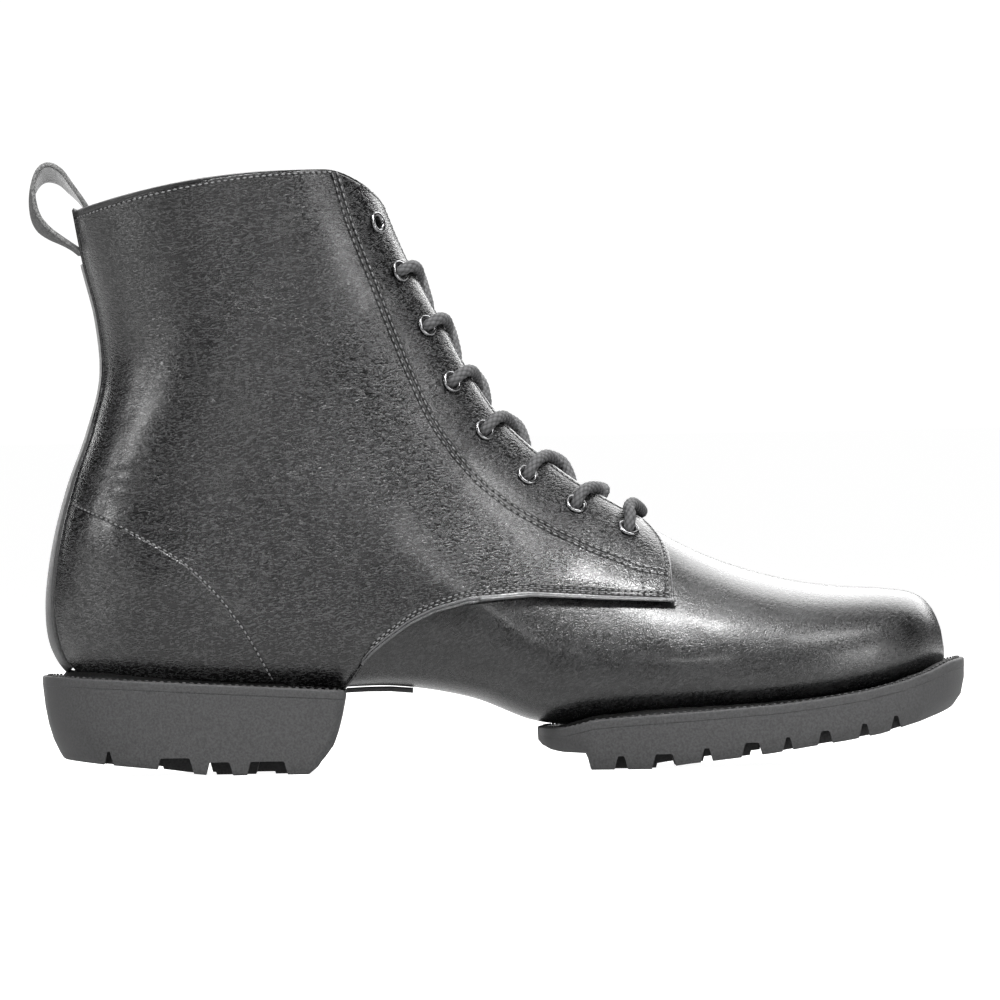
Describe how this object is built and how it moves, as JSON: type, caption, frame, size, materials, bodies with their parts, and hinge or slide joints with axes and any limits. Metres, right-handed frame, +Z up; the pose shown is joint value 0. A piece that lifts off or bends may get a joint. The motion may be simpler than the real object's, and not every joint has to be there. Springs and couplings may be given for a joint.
{
  "type": "dance boot",
  "caption": "Black leather lace-up ankle boot of derby cut with a split lugged rubber sole, a bare leather waist and a pull loop at the back, for dance training.",
  "frame": {"origin": "floor under the middle of the boot's box, as it stands on its sole", "axes": "+X toe, +Y inner side of the foot, +Z up"},
  "size_m": [0.2972, 0.1018, 0.1967],
  "materials": {
    "black_leather": "semi-gloss, fine grain",
    "lining": "matte",
    "rubber": "matte",
    "eyelet_metal": "dark plated",
    "lace": "braided"
  },
  "bodies": {
    "root": {"upper": "black_leather", "quarter_lateral": "black_leather", "quarter_medial": "black_leather", "backstay": "black_leather", "pull_loop": "black_leather", "tongue": "lining", "insole": "lining", "forefoot_outsole": "rubber", "forefoot_midsole": "rubber", "heel_block": "rubber", "heel_seat": "rubber", "waist_tab": "rubber", "eyelet_lateral_1": "eyelet_metal", "eyelet_lateral_2": "eyelet_metal", "eyelet_lateral_3": "eyelet_metal", "eyelet_lateral_4": "eyelet_metal", "eyelet_lateral_5": "eyelet_metal", "eyelet_lateral_6": "eyelet_metal", "eyelet_lateral_7": "eyelet_metal", "eyelet_lateral_8": "eyelet_metal", "eyelet_medial_1": "eyelet_metal", "eyelet_medial_2": "eyelet_metal", "eyelet_medial_3": "eyelet_metal", "eyelet_medial_4": "eyelet_metal", "eyelet_medial_5": "eyelet_metal", "eyelet_medial_6": "eyelet_metal", "eyelet_medial_7": "eyelet_metal", "eyelet_medial_8": "eyelet_metal", "lace_crossing_1": "lace", "lace_crossing_2": "lace", "lace_crossing_3": "lace", "lace_crossing_4": "lace", "lace_crossing_5": "lace", "lace_crossing_6": "lace", "lace_crossing_7": "lace"}
  },
  "joints": []
}
